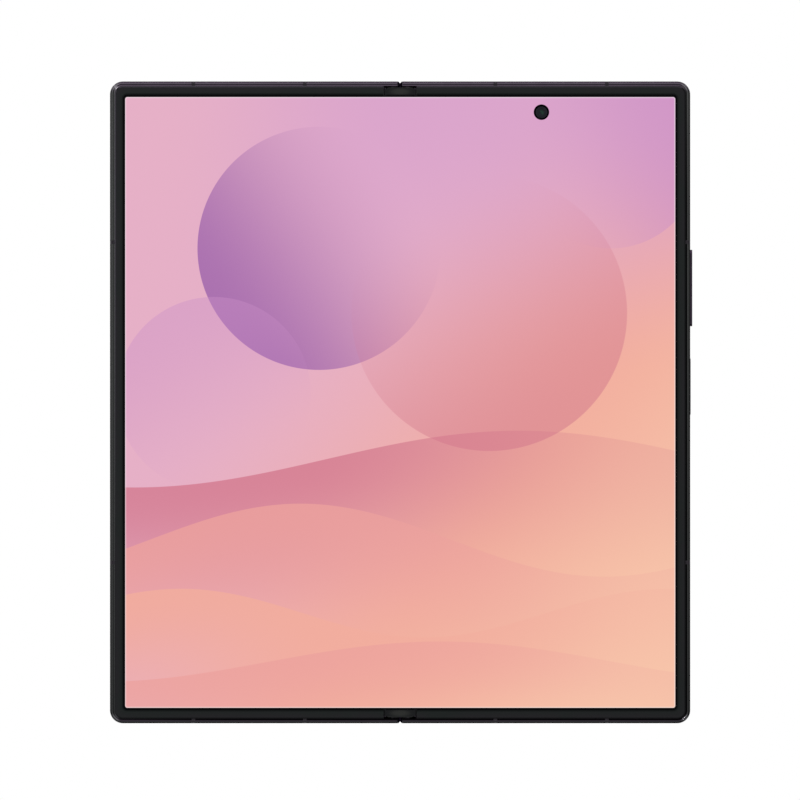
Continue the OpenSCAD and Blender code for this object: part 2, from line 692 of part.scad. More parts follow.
module right_frame() {
  color("#4a444c") on_back() difference() {
    half_frame();
    key_slot(volume_l, volume_y);
    key_slot(power_l, power_y);
    // Charging socket
    translate([socket_x, socket_d + 0.05 - half_l, socket_z]) rotate([90, 0, 0]) linear_extrude(socket_d + 1)
      stadium(socket_w + 2 * socket_wall + 0.04, socket_h + 2 * socket_wall + 0.04);
    // Speaker slots, mesh seats and ducts at both ends
    for (s = [0, 1]) mirror([0, s, 0]) {
      slot_row(-half_l - 1, rim_w - half_l + 0.1);
      box(speaker_x - duct_w / 2 - 0.5, speaker_x + duct_w / 2 + 0.5,
        rim_w - half_l, rim_w - half_l + 0.25, 0.9, 2.6);
      box(speaker_x - duct_w / 2, speaker_x + duct_w / 2, rim_w - half_l + 0.1, 0.1 - pocket_l, 1.2, 2.4);
    }
    // Microphone holes
    for (p = [[27.5, -1], [45, 1]]) translate([p[0], p[1] * (half_l + 1), tray_z]) rotate([p[1] * 90, 0, 0])
      cylinder(r = 0.35, h = rim_w + ledge_w + 1.1);
    translate([punch_x, punch_y, deck_h - 1]) cylinder(r = punch_r + 0.3, h = body_t);
  }
}
module right_antenna_breaks() { color("#3a383c") on_back() antenna_breaks(); }
module right_bezel() { color("#1f2123") on_back() bezel(); }
module right_display_panel() {
  color("#efb49c") on_back() difference() {
    display_panel();
    translate([punch_x, punch_y, 0]) cylinder(r = punch_r, h = body_t + 1);
  }
}
module right_display_plate() {
  color("#8f9196") on_back() difference() {
    display_plate();
    translate([punch_x, punch_y, 0]) cylinder(r = punch_r + 0.3, h = body_t + 1);
  }
}
module rear_glass() {
  color("#2c2830") on_back() difference() {
    back_glass();
    each_camera() translate([0, 0, -1]) cylinder(r = barrel_r + 0.1, h = 3);
    translate([flash_x, flash_y, -1]) cylinder(r = flash_r + 0.05, h = 3);
  }
}
module camera_island() {
  color("#37323a") on_back() difference() {
    union() {
      slab(-island_h + 0.3, 0) island_plan(ring_r + island_rim);
      slab(-island_h, 0.31 - island_h) island_plan(ring_r + island_rim - 0.3);
    }
    each_camera() translate([0, 0, -island_h - 1]) cylinder(r = barrel_r + 0.1, h = island_h + 2);
  }
}
module camera_rings() {
  color("#77717b") on_back() each_camera() translate([0, 0, -island_h]) rotate_extrude()
    polygon([[ring_r, 0], [barrel_r + 0.1, 0], [barrel_r + 0.1, -0.3], [ring_r - 0.9, -0.3],
      [ring_r - 0.9, -ring_h], [ring_r - 0.3, -ring_h], [ring_r, 0.3 - ring_h]]);
}
module camera_glasses() {
  color("#15161a") on_back() each_camera()
    translate([0, 0, -island_h - ring_h + 0.2]) cylinder(r = ring_r - 0.92, h = 0.45);
}
module camera_modules() {
  color("#1c1d21") on_back() each_camera() {
    translate([0, 0, -island_h - ring_h + 0.75]) difference() {
      cylinder(r = barrel_r, h = island_h + ring_h - 0.1);
      translate([0, 0, -0.01]) cylinder(r1 = barrel_r - 0.8, r2 = barrel_r - 2.4, h = 1);
    }
    translate([-barrel_r - 0.6, -barrel_r - 0.6, 0.64])
      cube([2 * barrel_r + 1.2, 2 * barrel_r + 1.2, deck_h - 0.64]);
  }
}
module flash_lens() {
  color("#f0e6cc") on_back() translate([flash_x, flash_y, 0]) {
    cylinder(r = flash_r, h = glass_t);
    translate([0, 0, glass_t]) cylinder(r = flash_r + 0.5, h = 0.5);
  }
}
module main_board() {
  color("#1f4a3c") on_back() {
    difference() {
      box(bracket_end + 0.4, camera_x - barrel_r - 1, board_low, board_top, board_z, can_z + 0.01);
      translate([pocket_x + 30, board_low + 3.5, 0]) cylinder(r = 1.2, h = body_t);
    }
    box(bracket_end + 2, pocket_x + 22, board_low + 2.5, board_low + 22.5, can_z, deck_h);
    box(bracket_end + 2, pocket_x + 18, board_low + 25, board_top - 1.5, can_z, deck_h);
    box(pocket_x + 25, pocket_x + 38, board_low + 7.5, board_low + 25.5, can_z, deck_h);
  }
}
module right_battery() { color("#3c3f45") on_back() battery(board_low - 2.5, glass_t + 0.35); }
module inner_camera() {
  color("#15181a") on_back() translate([punch_x, punch_y, 0]) {
    translate([-3, -3, 1]) cube([6, 6, deck_h - 1.01]);
    translate([0, 0, deck_h - 0.2]) cylinder(r = punch_r + 0.2, h = plate_z - deck_h);
    translate([0, 0, deck_h]) difference() {
      cylinder(r = punch_r - 0.05, h = display_z - deck_h - 0.05);
      translate([0, 0, display_z - deck_h - 0.35]) cylinder(r1 = 0.55, r2 = 1.25, h = 0.31);
    }
  }
}
module usb_port() {
  color("#a9abb0") on_back() translate([socket_x, -half_l + 0.2, socket_z]) rotate([-90, 0, 0]) {
    difference() {
      linear_extrude(socket_d - 0.2) stadium(socket_w + 2 * socket_wall, socket_h + 2 * socket_wall);
      translate([0, 0, -1]) linear_extrude(socket_d) stadium(socket_w, socket_h);
    }
    translate([-3.34, -0.35, 1]) cube([6.68, 0.7, socket_d - 1.21]);
  }
}
module bottom_speaker() {
  color("#25262a") on_back() box(speaker_x - 9, pocket_end - 1, 0.02 - pocket_l, 22.2 - half_l, 0.9, deck_h);
}
module top_speaker() {
  color("#25262a") on_back() box(speaker_x - 7.5, pocket_end - 2.6, flash_y + 5.9, pocket_l - 0.02, 0.9, deck_h);
}
module speaker_meshes() {
  color("#3b3b40") on_back() for (s = [0, 1]) mirror([0, s, 0])
    box(speaker_x - duct_w / 2 - 0.45, speaker_x + duct_w / 2 + 0.45,
      rim_w - half_l + 0.02, rim_w - half_l + 0.22, 0.95, 2.55);
}
module vibration_motor() {
  color("#b5b7bb") on_back() translate([motor_p[0], motor_p[1], 0.9]) {
    cylinder(r = 5, h = deck_h - 0.9);
    translate([-1.5, 4.5, 1]) cube([3, 4, deck_h - 1.9]);
  }
}
module charging_coil() {
  color("#b0703c") on_back() translate([coil_p[0], coil_p[1], glass_t]) for (r = [11:1.5:20]) difference() {
    cylinder(r = r, h = 0.2);
    translate([0, 0, -1]) cylinder(r = r - 1.1, h = 3);
  }
}
module right_rotators() { color("#9a9ca2") on_back() rotators(1); }
module right_rotator_screws() { color("#c4c6ca") on_back() rotator_screws(1); }
module right_magnets() { color("#7f8288") on_back() magnets(); }
module key_switch(l, y, t) {
  box(switch_x, switch_x + t, y - l / 2, y + l / 2, key_z - 0.8, key_z + key_h / 2 + 0.3);
}
module key_switches() {
  color("#d8d2c0") on_back() {
    key_switch(volume_l, volume_y, 0.5);
    key_switch(power_l, power_y, 0.8);
  }
}

// ---- pieces that move by themselves ----

module key(l, y, proud, gap) {
  x1 = half_w - rim_w - gap;
  translate([x1 - 0.01, y, key_z]) rotate([90, 0, 90]) linear_extrude(rim_w + gap + proud + 0.01) stadium(l, key_h);
  box(x1 - 0.35, x1, y - l / 2 - 0.5, y + l / 2 + 0.5, key_z - key_h / 2 - 0.18, key_z + key_h / 2 + 0.18);
}
module volume_key() { color("#4a3f4e") on_back() key(volume_l, volume_y, volume_proud, 0.3); }
module power_key() { color("#4a3f4e") on_back() key(power_l, power_y, power_proud, 0.05); }
module sim_tray() {
  color("#4a444c") on_back() left_side() translate([tray_x, 0, tray_z]) difference() {
    union() {
      translate([0, rim_w - half_l, 0]) rotate([90, 0, 0]) linear_extrude(rim_w) stadium(bar_w, bar_h);
      translate([-tray_w / 2, rim_w - half_l - 0.01, -tray_t / 2]) cube([tray_w, tray_l + 0.01, tray_t]);
    }
    for (k = [0, 1]) translate([-4.4, rim_w - half_l + 1.3, k == 0 ? 0.15 : -1.15]) cube([8.8, 12.3, 1]);
    translate([0, rim_w - half_l + 1.3, -1]) translate([-3.6, 0.8, 0]) cube([7.2, 10.7, 3]);
    translate([tray_w / 2 + 0.75, rim_w - half_l + 1, 0]) rotate([90, 0, 0]) cylinder(r = eject_r, h = rim_w + 2);
  }
}
module left_arms() { color("#b8b2a2") on_back() left_side() arms(180 / gear_teeth); }
module right_arms() { color("#b8b2a2") on_back() arms(0); }
module left_idler_gears() { color("#c9c2ac") on_back() left_side() each_module() gear(gear_pitch / 2, 0); }
module right_idler_gears() {
  color("#c9c2ac") on_back() each_module() gear(gear_pitch / 2, 180 / gear_teeth);
}
module left_wing() { color("#85878c") on_back() left_side() wing(1); }
module right_wing() { color("#85878c") on_back() wing(0); }

spine_cover();
hinge_end_caps();
hinge_brackets();
gear_shafts();
detent_cams();
hinge_springs();
spine_screws();
inner_display_fold();
display_lattice();
left_frame();
left_antenna_breaks();
left_bezel();
left_display_panel();
left_display_plate();
cover_glass();
cover_display_panel();
cover_camera();
left_battery();
sub_board();
sim_reader();
earpiece();
left_rotators();
left_rotator_screws();
left_magnets();
right_frame();
right_antenna_breaks();
right_bezel();
right_display_panel();
right_display_plate();
rear_glass();
camera_island();
camera_rings();
camera_glasses();
camera_modules();
flash_lens();
main_board();
right_battery();
inner_camera();
usb_port();
bottom_speaker();
top_speaker();
speaker_meshes();
vibration_motor();
charging_coil();
right_rotators();
right_rotator_screws();
right_magnets();
key_switches();
volume_key();
power_key();
sim_tray();
left_arms();
right_arms();
left_idler_gears();
right_idler_gears();
left_wing();
right_wing();
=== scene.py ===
"""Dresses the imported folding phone: finishes, picture, lenses, contacts, stage, lights and camera.

Lengths are in millimetres of the part's frame. Only meshes, lights and the camera are placed in metres."""
import math

import bmesh
import bpy
from mathutils import Matrix, Vector


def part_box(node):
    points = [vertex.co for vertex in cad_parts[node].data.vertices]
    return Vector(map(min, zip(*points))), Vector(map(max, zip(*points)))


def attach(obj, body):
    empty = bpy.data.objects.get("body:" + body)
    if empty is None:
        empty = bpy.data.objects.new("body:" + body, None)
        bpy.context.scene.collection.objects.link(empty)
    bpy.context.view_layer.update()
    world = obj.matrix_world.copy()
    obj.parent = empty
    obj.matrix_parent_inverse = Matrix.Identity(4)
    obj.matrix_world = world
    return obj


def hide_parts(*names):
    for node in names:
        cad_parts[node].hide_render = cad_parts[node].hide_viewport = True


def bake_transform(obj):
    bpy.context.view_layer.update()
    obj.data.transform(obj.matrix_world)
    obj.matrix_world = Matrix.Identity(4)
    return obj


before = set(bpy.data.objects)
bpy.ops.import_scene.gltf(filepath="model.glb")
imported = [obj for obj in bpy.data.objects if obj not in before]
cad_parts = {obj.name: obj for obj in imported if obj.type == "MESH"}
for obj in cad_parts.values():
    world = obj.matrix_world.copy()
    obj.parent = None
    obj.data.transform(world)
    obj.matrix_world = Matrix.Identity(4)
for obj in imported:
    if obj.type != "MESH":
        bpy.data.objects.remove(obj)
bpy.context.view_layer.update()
MM = 0.001


# ---- places, worked out from the frame, and sizes that the solids share ----

def low_high(node):
    """A CAD node's box at rest, in millimetres."""
    low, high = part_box(node)
    return [v / MM for v in low], [v / MM for v in high]


RIGHT_FRAME = low_high("right_frame")
HALF_W = RIGHT_FRAME[1][0]
HALF_L = RIGHT_FRAME[1][1]
RIM_TOP = RIGHT_FRAME[1][2]
BACK_Z = RIGHT_FRAME[0][2]
PANEL_LOW, PANEL_HIGH = low_high("inner_display_fold")
SCREEN_Z = PANEL_HIGH[2]
FOLD_X = PANEL_HIGH[0]
FOLD_Y = PANEL_HIGH[1]
LATTICE_LOW, LATTICE_HIGH = low_high("display_lattice")
RIM_W = 1.15
CORNER_R = 3.2
GROOVE_INSET = 0.79
PICTURE_INSET = 3.5
PICTURE_R = 0.75
PICTURE_W = HALF_W - PICTURE_INSET
PICTURE_L = HALF_L - PICTURE_INSET
CAMERA_LOW, CAMERA_HIGH = low_high("inner_camera")
PUNCH = [(CAMERA_LOW[i] + CAMERA_HIGH[i]) / 2 for i in (0, 1)]
PUNCH_R = 1.86
GLASS_LOW, GLASS_HIGH = low_high("camera_glasses")
GLASS_R = (GLASS_HIGH[0] - GLASS_LOW[0]) / 2
CAMERA_X = (GLASS_LOW[0] + GLASS_HIGH[0]) / 2
CAMERA_Y = (GLASS_LOW[1] + GLASS_HIGH[1]) / 2
CAMERA_PITCH = (GLASS_HIGH[1] - GLASS_LOW[1]) / 2 - GLASS_R
CLEAR_R = 3.5
SEAM_HALF = 0.1
NOTCH_DEPTH = 0.36
FLASH_LOW, FLASH_HIGH = low_high("flash_lens")
FLASH_SPOT = [(FLASH_LOW[i] + FLASH_HIGH[i]) / 2 for i in (0, 1)]
SOCKET_LOW, SOCKET_HIGH = low_high("usb_port")


# ---- shader helpers ----

def srgb(r, g, b):
    """Linear colour of an 8-bit display colour."""
    shares = [c / 255 for c in (r, g, b)]
    return tuple(((v + 0.055) / 1.055) ** 2.4 if v > 0.0404 else v / 12.92 for v in shares) + (1.0,)


class Nodes:
    """A node tree, built by expressions: a value is a socket or a constant."""

    def __init__(self, tree):
        self.tree = tree
        self.column = 0

    def node(self, kind, **settings):
        made = self.tree.nodes.new(kind)
        self.column += 1
        made.location = (-200 * (self.column % 12) - 200, -160 * (self.column // 12))
        for key, value in settings.items():
            setattr(made, key, value)
        return made

    def feed(self, socket, value):
        """Links a socket, or sets its constant."""
        if isinstance(value, bpy.types.NodeSocket):
            self.tree.links.new(value, socket)
        else:
            socket.default_value = value

    def math(self, op, *values):
        made = self.node("ShaderNodeMath", operation=op)
        for socket, value in zip(made.inputs, values):
            self.feed(socket, value)
        return made.outputs[0]

    def add(self, a, b):
        return self.math("ADD", a, b)

    def sub(self, a, b):
        return self.math("SUBTRACT", a, b)

    def mul(self, a, b):
        return self.math("MULTIPLY", a, b)

    def ramp(self, value, low, high, smooth=True, at_low=0.0, at_high=1.0):
        """Goes from at_low to at_high as the value goes from low to high; low may be the greater one."""
        made = self.node("ShaderNodeMapRange", interpolation_type="SMOOTHSTEP" if smooth else "LINEAR")
        for index, v in enumerate((value, low, high, at_low, at_high)):
            self.feed(made.inputs[index], v)
        return made.outputs[0]

    def mix(self, factor, a, b):
        made = self.node("ShaderNodeMix", data_type="RGBA")
        for index, value in ((0, factor), (6, a), (7, b)):
            self.feed(made.inputs[index], value)
        return made.outputs[2]

    def scale(self, vector, factor):
        made = self.node("ShaderNodeVectorMath", operation="SCALE")
        self.feed(made.inputs[0], vector)
        self.feed(made.inputs["Scale"], factor)
        return made.outputs[0]

    def place(self):
        """Where the surface lies at rest, in millimetres."""
        return self.scale(self.node("ShaderNodeTexCoord").outputs["Object"], 1 / MM)

    def parts(self, vector):
        made = self.node("ShaderNodeSeparateXYZ")
        self.feed(made.inputs[0], vector)
        return made.outputs

    def noise(self, vector, scale, detail=2.0, rough=0.5):
        """Noise from 0 to 1, scale in spots a millimetre."""
        made = self.node("ShaderNodeTexNoise")
        for key, value in (("Vector", vector), ("Scale", scale), ("Detail", detail), ("Roughness", rough)):
            self.feed(made.inputs[key], value)
        return made.outputs["Fac"]

    def distance(self, x, y, cx, cy):
        """Distance from a point in the plane."""
        dx, dy = self.sub(x, cx), self.sub(y, cy)
        return self.math("SQRT", self.add(self.mul(dx, dx), self.mul(dy, dy)))

    def round_box(self, x, y, w, h, r):
        """Signed distance from a rectangle with rounded corners, negative inside."""
        qx = self.math("MAXIMUM", self.sub(self.math("ABSOLUTE", x), w - r), 0.0)
        qy = self.math("MAXIMUM", self.sub(self.math("ABSOLUTE", y), h - r), 0.0)
        return self.sub(self.math("SQRT", self.add(self.mul(qx, qx), self.mul(qy, qy))), r)


class Graph(Nodes):
    """A material with its node tree."""

    def __init__(self, name):
        self.material = bpy.data.materials.new(name)
        self.material.use_nodes = True
        super().__init__(self.material.node_tree)
        self.shader = self.tree.nodes["Principled BSDF"]

    def set(self, **inputs):
        """Feeds the shader's sockets, each named with _ for a space."""
        for key, value in inputs.items():
            self.feed(self.shader.inputs[key.replace("_", " ")], value)

    def bump(self, height, strength, depth):
        """Surface relief, its depth in millimetres."""
        made = self.node("ShaderNodeBump")
        for key, value in (("Height", height), ("Strength", strength), ("Distance", depth * MM)):
            self.feed(made.inputs[key], value)
        self.feed(self.shader.inputs["Normal"], made.outputs[0])


WHITE = (1.0, 1.0, 1.0, 1.0)
UNLIT = (0.0, 0.0, 0.0, 1.0)
GLASS_BLACK = (0.004, 0.004, 0.005, 1.0)


# ---- the picture on the inner display: discs over dunes ----

SOFT_EDGE = 0.06
LILAC = srgb(217, 162, 207)
PALE_PINK = srgb(232, 177, 200)
CORAL = srgb(238, 162, 158)
SALMON = srgb(244, 174, 158)
PEACH = srgb(251, 201, 172)
PURPLE = srgb(158, 96, 172)
ORCHID = srgb(203, 142, 200)
ROSE = srgb(212, 118, 140)
# Discs: centre, radius, colour, direction of the fade in degrees, strength
DISCS = (
    ((-20.0, 38.0), 30.0, PURPLE, 215.0, 0.85),
    ((22.0, 22.0), 34.0, ROSE, -60.0, 0.55),
    ((-46.0, 2.0), 24.0, ORCHID, 120.0, 0.4),
    ((52.0, 60.0), 22.0, ORCHID, 20.0, 0.6),
)
# Dunes: mean height, amplitude, wave length, phase, colour, depth of the fade, strength
DUNES = (
    (-14.0, 7.0, 190.0, 0.6, ROSE, 42.0, 0.8),
    (-34.0, 9.0, 150.0, 2.6, CORAL, 40.0, 0.8),
    (-52.0, 6.0, 120.0, 4.4, SALMON, 34.0, 0.85),
    (-64.0, 5.0, 170.0, 1.2, CORAL, 24.0, 0.75),
)


def picture(g, x, y):
    """Colour of the wallpaper at a point in millimetres from the hinge centre."""
    slant = g.ramp(g.add(g.mul(x, 0.75), g.mul(y, -0.66)), -95.0, 95.0, smooth=False)
    colour = g.mix(g.ramp(slant, 0.3, 0.72), PALE_PINK, SALMON)
    colour = g.mix(g.ramp(slant, 0.6, 1.0), colour, PEACH)
    colour = g.mix(g.mul(g.mul(g.ramp(y, 5.0, 75.0), g.ramp(x, -62.0, 0.0)), 0.75), colour, LILAC)
    for (cx, cy), r, tint, turn, strength in DISCS:
        inside = g.ramp(g.distance(x, y, cx, cy), r + SOFT_EDGE, r - SOFT_EDGE)
        a = math.radians(turn)
        along = g.add(g.mul(g.sub(x, cx), math.cos(a)), g.mul(g.sub(y, cy), math.sin(a)))
        fade = g.ramp(along, -r * 0.9, r)
        colour = g.mix(g.mul(g.mul(inside, fade), strength), colour, tint)
    for height, swing, length, phase, tint, depth, strength in DUNES:
        wave = g.math("SINE", g.add(g.mul(x, 2 * math.pi / length), phase))
        below = g.sub(g.add(g.mul(wave, swing), height), y)
        fade = g.mul(g.ramp(below, -SOFT_EDGE, SOFT_EDGE), g.ramp(below, depth, 0.0))
        fade = g.mul(fade, g.ramp(x, 62.0, -25.0, at_low=0.25, at_high=1.0))
        colour = g.mix(g.mul(fade, strength), colour, tint)
    return colour


def screen_material(name, from_uv=False):
    """The folding display: lit picture, thin black border, soft-gloss cover film."""
    g = Graph(name)
    if from_uv:
        spot = g.node("ShaderNodeVectorMath", operation="MULTIPLY_ADD")
        g.feed(spot.inputs[0], g.node("ShaderNodeUVMap", uv_map="rest").outputs[0])
        spot.inputs[1].default_value = (2 * HALF_W, 2 * HALF_L, 0)
        spot.inputs[2].default_value = (-HALF_W, -HALF_L, 0)
        x, y, _ = g.parts(spot.outputs[0])
    else:
        x, y, _ = g.parts(g.place())
    # The lit part is a little smaller than the bezels' opening and lies a little off its middle
    edge = g.round_box(g.sub(x, 0.03), g.add(y, 0.02), PICTURE_W - 0.03, PICTURE_L - 0.15, PICTURE_R)
    hole = g.distance(x, y, PUNCH[0] - 0.02, PUNCH[1] + 0.06)
    lit = g.mul(g.ramp(edge, -0.16, -0.25), g.ramp(hole, PUNCH_R + 0.02, PUNCH_R + 0.09))
    pale_line = g.mul(g.ramp(edge, -0.55, -0.3), 0.42)
    glow = g.mix(lit, UNLIT, g.mix(pale_line, picture(g, x, y), WHITE))
    g.set(Base_Color=GLASS_BLACK, Roughness=0.16, Specular_IOR_Level=0.3)
    g.set(Emission_Color=glow, Emission_Strength=0.97)
    return g.material


# ---- finishes ----

# Share of grain and cloudiness in a metal's roughness; grain of blasted metal and of moulded plastic in
# spots a millimetre
GRAIN = 0.06
BLASTED = 22.0
MOULDED = 14.0


def clouded(g, cloud, colour, share):
    """A colour that wanders by a share to both sides of its tone."""
    darker = tuple(c * (1 - share) for c in colour[:3]) + (1,)
    lighter = tuple(min(1, c * (1 + share)) for c in colour[:3]) + (1,)
    return g.mix(cloud, darker, lighter)


def metal(name, colour, roughness):
    """Fine-blasted, anodised metal with slight cloudiness."""
    g = Graph(name)
    spot = g.place()
    cloud = g.noise(spot, 0.35, 3)
    fine = g.noise(spot, BLASTED)
    rough = g.add(g.mul(fine, GRAIN), g.add(g.mul(cloud, GRAIN), roughness - GRAIN))
    g.set(Base_Color=clouded(g, cloud, colour, 0.12), Metallic=1.0, Roughness=rough)
    g.bump(fine, 0.12, 0.01)
    return g.material


# Painted highlight and shade bands of the rim's front, from its outer edge inwards: from, to, gain at left,
# right, low end and high end
RIM_LIGHT_BANDS = (
    (-1.0, 0.34, 0.62, 0.68, 0.12, 0.88),
    (0.34, 0.54, 0.58, 0.65, 1.15, 1.15),
    (0.54, 0.76, 1.6, 1.5, 1.2, 1.2),
    (0.76, 1.0, 0.6, 0.8, 0.8, 1.35),
    (1.0, 2.0, 1.75, 0.6, 0.7, 1.05),
)


def rim_metal():
    """The frames' anodised metal, darker in the rims' seam, in the groove and towards the low end, all
    painted shade; with painted highlight and shade bands along the front, painted glints at the corners and
    a painted greyer reflection on the long sides.
    """
    g = Graph("rim_metal")
    spot = g.place()
    x, y, z = g.parts(spot)
    across = g.math("ABSOLUTE", x)
    along = g.math("ABSOLUTE", y)
    fine = g.noise(spot, BLASTED)
    tone = g.mix(g.noise(spot, 0.35, 3), srgb(84, 79, 87), srgb(94, 88, 97))
    # Painted reflection: greyer along the long sides, the purple tone kept towards the ends
    tone = g.mix(g.ramp(along, HALF_L - 3.0, HALF_L - 1.5), srgb(88, 88, 88), tone)
    # Painted shade: darker towards the low end, away from the main light
    tone = g.mix(g.ramp(y, 60.0, -75.0, smooth=False, at_high=0.5), tone, srgb(34, 32, 36))
    # Painted glints: lighter in the middle of each rounded corner
    past_x = g.sub(across, HALF_W - CORNER_R)
    past_y = g.sub(along, HALF_L - CORNER_R)
    corner = g.mul(g.ramp(past_x, 0.7, 1.5), g.ramp(past_y, 0.7, 1.5))
    tone = g.mix(g.mul(corner, 0.5), tone, srgb(136, 136, 138))

    # The groove, painted dark as shade, most where it faces away from the main light, and the slope inside
    # it that is painted dark where it faces away from the main light
    inset = g.mul(g.round_box(x, y, HALF_W, HALF_L, CORNER_R), -1.0)
    front = g.ramp(z, RIM_TOP - 0.4, RIM_TOP - 0.3)
    away = g.ramp(g.sub(g.mul(x, 1 / HALF_W), g.mul(y, 1 / HALF_L)), -0.2, 0.4)
    groove = g.ramp(g.math("ABSOLUTE", g.sub(inset, GROOVE_INSET)), 0.16, 0.08)
    groove = g.mul(groove, g.add(g.mul(away, 0.6), 0.25))
    slope = g.mul(g.ramp(inset, GROOVE_INSET - 0.05, GROOVE_INSET + 0.07), away)
    tone = g.mix(g.mul(g.math("MAXIMUM", groove, g.mul(slope, 0.85)), front), tone, srgb(14, 12, 15))

    # Painted highlight and shade bands along the rounded edge and the lands beside the groove, lighter or
    # darker on each side by how the light falls
    sides = g.ramp(across, HALF_W - 3.0, HALF_W - 1.0)
    low_end = g.ramp(y, 3.0 - HALF_L, 1.0 - HALF_L)
    gain = 1.0
    for start, stop, at_left, at_right, at_low, at_high in RIM_LIGHT_BANDS:
        inside = g.mul(g.ramp(inset, start - 0.03, start + 0.03), g.ramp(inset, stop + 0.03, stop - 0.03))
        at_end = g.add(g.mul(low_end, at_low - at_high), at_high - 1.0)
        at_side = g.add(g.mul(g.ramp(x, -1.0, 1.0), at_right - at_left), at_left - 1.0)
        change = g.add(g.mul(g.sub(1.0, sides), at_end), g.mul(sides, at_side))
        gain = g.add(gain, g.mul(g.mul(inside, change), front))
    # Painted shade: the rims' ends a darker purple beside the seam between them
    seam = g.ramp(across, 0.6, 0.3)
    colour = g.mix(seam, g.scale(tone, gain), srgb(62, 46, 72))
    rough = g.add(g.mul(fine, 0.05), 0.19)
    g.set(Base_Color=colour, Metallic=1.0, Roughness=rough, Specular_Tint=(0.5, 0.5, 0.5, 1.0))
    g.bump(fine, 0.03, 0.01)
    return g.material


def plastic(name, colour, roughness, specular=0.5):
    """Moulded plastic with a fine spark-eroded grain."""
    g = Graph(name)
    spot = g.place()
    fine = g.noise(spot, MOULDED, 3)
    colour = clouded(g, g.noise(spot, 0.5, 3), colour, 0.15)
    g.set(Base_Color=colour, Roughness=g.add(g.mul(fine, 0.05), roughness), Specular_IOR_Level=specular)
    g.bump(fine, 0.15, 0.012)
    return g.material


def wiped(g, spot):
    """Wide, faint smudges of a wiped glass, from 0 to 1."""
    return g.noise(spot, 0.06, 4, 0.6)


def satin_glass():
    """Rear glass with a satin finish under a thin coat."""
    g = Graph("rear_glass_satin")
    smudge = wiped(g, g.place())
    colour = srgb(52, 46, 56)
    tint = tuple(c * 1.25 + 0.001 for c in colour[:3]) + (1,)
    g.set(Base_Color=g.mix(smudge, colour, tint), Roughness=g.add(g.mul(smudge, 0.05), 0.34))
    g.set(Coat_Weight=0.3, Coat_Roughness=0.03)
    return g.material


def lens_coating():
    """Coated lens element: its tint shifts from violet to green as the surface turns away."""
    g = Graph("lens_coating")
    facing = g.node("ShaderNodeLayerWeight")
    facing.inputs["Blend"].default_value = 0.35
    cloud = g.noise(g.place(), 0.9)
    turned = g.ramp(g.add(facing.outputs["Facing"], g.mul(cloud, 0.3)), 0.1, 0.7)
    tint = g.mix(turned, (0.02, 0.012, 0.05, 1), (0.004, 0.03, 0.028, 1))
    g.set(Base_Color=tint, Roughness=0.05, Specular_IOR_Level=0.35)
    return g.material


def bezel_film():
    """Soft raised edge of the display: near black, darker along the picture, with a painted highlight on its
    lip at the top and left and painted shade on the lip at the bottom and right.
    """
    g = Graph("bezel_film")
    spot = g.place()
    x, y, _ = g.parts(spot)
    inner = g.round_box(x, y, PICTURE_W, PICTURE_L, PICTURE_R)
    outer = g.round_box(x, y, HALF_W - RIM_W, HALF_L - RIM_W, CORNER_R - RIM_W)
    colour = g.mix(g.ramp(inner, 0.3, 2.1), srgb(20, 26, 24), srgb(27, 26, 29))
    colour = g.mix(g.mul(g.ramp(g.noise(spot, 0.09), 0.45, 0.7), 0.6), colour, srgb(18, 28, 24))
    # The lip: a painted highlight along the top and left, fading away from the upper left, and painted shade
    # along the bottom and right
    lip = g.ramp(outer, -0.34, -0.27)
    top = g.ramp(y, HALF_L - RIM_W - 0.6, HALF_L - RIM_W - 0.45)
    left = g.ramp(x, 0.6 + RIM_W - HALF_W, 0.45 + RIM_W - HALF_W)
    shine = g.math("MAXIMUM", g.mul(top, g.ramp(x, 250.0, -60.0)), g.mul(left, g.ramp(y, -60.0, 70.0)))
    colour = g.mix(g.mul(lip, shine), colour, srgb(68, 64, 72))
    # Painted shade on the lip at the bottom and right
    lip_shade = g.mul(g.mul(lip, g.sub(1.0, g.math("MAXIMUM", top, left))), 0.5)
    along = g.math("MAXIMUM", g.mul(g.ramp(inner, 0.72, 0.36), 0.5), g.ramp(inner, 0.32, 0.14))
    line = g.math("MAXIMUM", along, lip_shade)
    fine = g.noise(spot, MOULDED, 3)
    g.set(Base_Color=g.mix(line, colour, srgb(5, 4, 6)), Roughness=g.add(g.mul(fine, 0.06), 0.42))
    g.set(Specular_IOR_Level=g.mul(g.sub(1.0, line), 0.2))
    g.bump(fine, 0.12, 0.01)
    return g.material


def cap_plastic():
    """Soft plastic over the end of the hinge: a painted highlight on a crown in the middle and on a lip, and
    painted shade on the dark tongue beyond it.
    """
    g = Graph("cap_plastic")
    x, y, _ = g.parts(g.place())
    rise = g.sub(g.math("ABSOLUTE", y), HALF_L - RIM_W - 1.35)
    # Painted highlights: a soft one on the crown and a line on the lip
    crown = g.ramp(g.distance(g.mul(x, 1 / 3.1), rise, 0.0, 0.0), 1.1, 0.3)
    lip = g.mul(g.ramp(rise, 0.72, 0.95), 0.7)
    # Painted shade: the tongue beyond the cap's end, dark and with little gloss
    tongue = g.ramp(rise, 0.98, 1.02)
    colour = g.mix(g.math("MAXIMUM", crown, lip), srgb(22, 24, 25), srgb(47, 49, 46))
    g.set(Base_Color=g.mix(tongue, colour, srgb(16, 9, 21)), Roughness=0.5)
    g.set(Specular_IOR_Level=g.mul(g.sub(1.0, tongue), 0.15))
    return g.material


